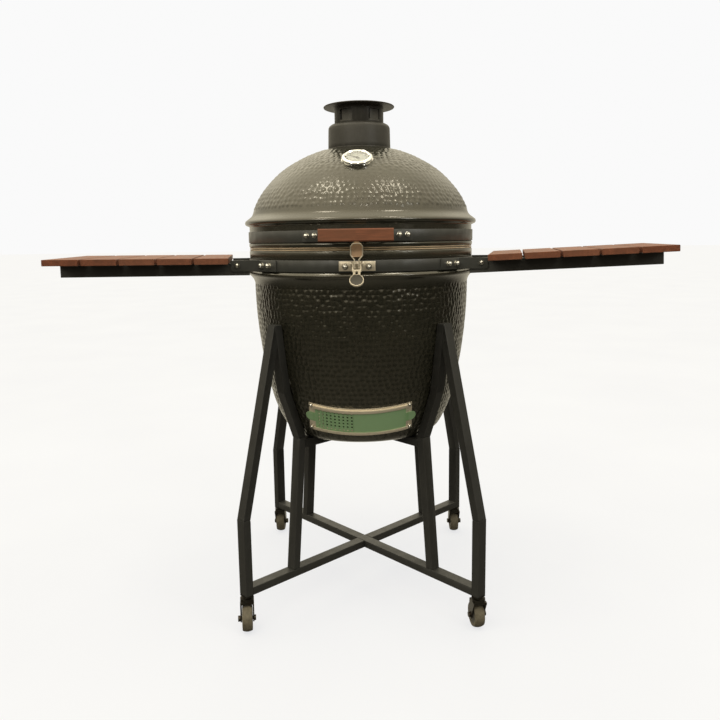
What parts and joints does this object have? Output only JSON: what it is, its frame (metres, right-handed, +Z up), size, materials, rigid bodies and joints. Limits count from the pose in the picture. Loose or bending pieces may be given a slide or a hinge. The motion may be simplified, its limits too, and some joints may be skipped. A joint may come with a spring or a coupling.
{
  "type": "kamado grill",
  "caption": "Egg-shaped ceramic charcoal grill on a rolling tubular stand, with hinged lid, top vent, draft door and folding wooden side shelves.",
  "frame": {"origin": "on the floor, under the middle of the bowl", "axes": "+Z up, front of the grill towards -Y, side shelves along X"},
  "size_m": [1.5364, 0.699, 1.2779],
  "materials": {
    "dark_glaze": "semi-gloss glaze, hammered surface",
    "raw_ceramic": "unglazed refractory ceramic",
    "felt": "tan heat-resistant felt",
    "black_steel": "satin black powder coat",
    "bolts": "plain stainless",
    "zinc_steel": "zinc plated",
    "wood": "red-brown oiled hardwood",
    "chrome": "polished",
    "dial_face": "white enamel dial",
    "needle_black": "matt black",
    "clear_glass": "clear",
    "cast_vent": "dark oiled cast iron",
    "grate_iron": "bare cast iron",
    "stainless": "brushed stainless",
    "green_door": "satin dark green",
    "tyre_rubber": "grey-beige rubber"
  },
  "bodies": {
    "base": {"base_cross": "black_steel", "corner_posts": "black_steel", "inner_posts": "black_steel", "outer_struts": "black_steel", "cradle_struts": "black_steel", "cradle_cross": "black_steel", "caster_stems": "zinc_steel", "bowl": "dark_glaze", "bowl_gasket": "felt", "fire_box": "raw_ceramic", "fire_ring": "raw_ceramic", "charcoal_grate": "grate_iron", "cooking_grid": "stainless", "lower_band": "black_steel", "lower_nuts": "bolts", "hinge_lower_bracket": "black_steel", "hinge_pin": "zinc_steel", "hinge_spring": "black_steel", "latch_base": "stainless", "draft_frame": "stainless", "draft_screws": "bolts", "shelf_brackets": "black_steel", "shelf_hinge_pins": "bolts"},
    "lid": {"lid": "dark_glaze", "lid_gasket": "felt", "upper_band": "black_steel", "upper_nuts": "bolts", "hinge_upper_bracket": "black_steel", "handle_brackets": "black_steel", "handle_grip": "wood", "handle_screws": "zinc_steel", "latch_catch": "stainless", "thermometer_case": "chrome", "thermometer_dial": "dial_face", "thermometer_glass": "clear_glass", "thermometer_stem": "stainless", "vent_gasket": "felt", "vent_collar": "cast_vent"},
    "needle": {"thermometer_needle": "needle_black"},
    "vent_cap": {"vent_cap": "cast_vent"},
    "latch_lever": {"latch_lever": "stainless", "latch_knob": "stainless"},
    "latch_bail": {"latch_bail": "stainless"},
    "draft_screen": {"draft_screen": "green_door"},
    "draft_door": {"draft_door": "green_door"},
    "shelf_left": {"shelf_arms_left": "black_steel", "shelf_slats_left": "wood"},
    "shelf_right": {"shelf_arms_right": "black_steel", "shelf_slats_right": "wood"},
    "caster_fl": {"caster_fork_fl": "zinc_steel"},
    "wheel_fl": {"caster_wheel_fl": "tyre_rubber"},
    "caster_fr": {"caster_fork_fr": "zinc_steel"},
    "wheel_fr": {"caster_wheel_fr": "tyre_rubber"},
    "caster_rl": {"caster_fork_rl": "zinc_steel"},
    "wheel_rl": {"caster_wheel_rl": "tyre_rubber"},
    "caster_rr": {"caster_fork_rr": "zinc_steel"},
    "wheel_rr": {"caster_wheel_rr": "tyre_rubber"}
  },
  "joints": [
    {"name": "lid_hinge", "type": "hinge", "parent": "base", "child": "lid", "pos_m": [0, 0.335, 0.932], "axis": [-1, 0, 0], "range_deg": [0, 75], "stiffness_Nm_per_rad": 40, "springref_deg": 80.21},
    {"name": "vent_cap_turn", "type": "hinge", "parent": "lid", "child": "vent_cap", "pos_m": [0, 0, 1.25], "axis": [0, 0, 1], "range_deg": [-28.6, 4]},
    {"name": "needle_turn", "type": "hinge", "parent": "lid", "child": "needle", "pos_m": [0, -0.18556, 1.12163], "axis": [0, -0.5446, 0.8387], "range_deg": [-240, 30]},
    {"name": "latch_lever_turn", "type": "hinge", "parent": "base", "child": "latch_lever", "pos_m": [0, -0.306, 0.884], "axis": [-1, 0, 0], "range_deg": [0, 48]},
    {"name": "latch_bail_turn", "type": "hinge", "parent": "latch_lever", "child": "latch_bail", "pos_m": [0, -0.311, 0.875], "axis": [-1, 0, 0], "range_deg": [-105.6, 0]},
    {"name": "draft_screen_slide", "type": "hinge", "parent": "base", "child": "draft_screen", "pos_m": [0, -0.00345, 0.57716], "axis": [0, -0.309, 0.9511], "range_deg": [-1, 24.5]},
    {"name": "draft_door_slide", "type": "hinge", "parent": "base", "child": "draft_door", "pos_m": [0, -0.00345, 0.57716], "axis": [0, -0.309, 0.9511], "range_deg": [-24.5, 1]},
    {"name": "shelf_right_fold", "type": "hinge", "parent": "base", "child": "shelf_right", "pos_m": [0.31591, -0.05969, 0.879], "axis": [0.1857, 0.9826, 0], "range_deg": [0, 88]},
    {"name": "shelf_left_fold", "type": "hinge", "parent": "base", "child": "shelf_left", "pos_m": [-0.31591, -0.05969, 0.879], "axis": [0.1857, -0.9826, 0], "range_deg": [0, 88]},
    {"name": "caster_fl_swivel", "type": "hinge", "parent": "base", "child": "caster_fl", "pos_m": [-0.28072, -0.28072, 0.079], "axis": [0, 0, 1], "continuous": true},
    {"name": "wheel_fl_spin", "type": "hinge", "parent": "caster_fl", "child": "wheel_fl", "pos_m": [-0.27864, -0.29254, 0.031], "axis": [0.9848, 0.1736, 0], "continuous": true},
    {"name": "caster_fr_swivel", "type": "hinge", "parent": "base", "child": "caster_fr", "pos_m": [0.28072, -0.28072, 0.079], "axis": [0, 0, 1], "continuous": true},
    {"name": "wheel_fr_spin", "type": "hinge", "parent": "caster_fr", "child": "wheel_fr", "pos_m": [0.27823, -0.26898, 0.031], "axis": [-0.9781, -0.2079, 0], "continuous": true},
    {"name": "caster_rl_swivel", "type": "hinge", "parent": "base", "child": "caster_rl", "pos_m": [-0.28072, 0.28072, 0.079], "axis": [0, 0, 1], "continuous": true},
    {"name": "wheel_rl_spin", "type": "hinge", "parent": "caster_rl", "child": "wheel_rl", "pos_m": [-0.28072, 0.29272, 0.031], "axis": [-1, 0, 0], "continuous": true},
    {"name": "caster_rr_swivel", "type": "hinge", "parent": "base", "child": "caster_rr", "pos_m": [0.28072, 0.28072, 0.079], "axis": [0, 0, 1], "continuous": true},
    {"name": "wheel_rr_spin", "type": "hinge", "parent": "caster_rr", "child": "wheel_rr", "pos_m": [0.2803, 0.29271, 0.031], "axis": [-0.9994, -0.0349, 0], "continuous": true}
  ],
  "couplings": [
    {"joint": "latch_bail_turn", "follows": "latch_lever_turn", "ratio": -2.2}
  ]
}
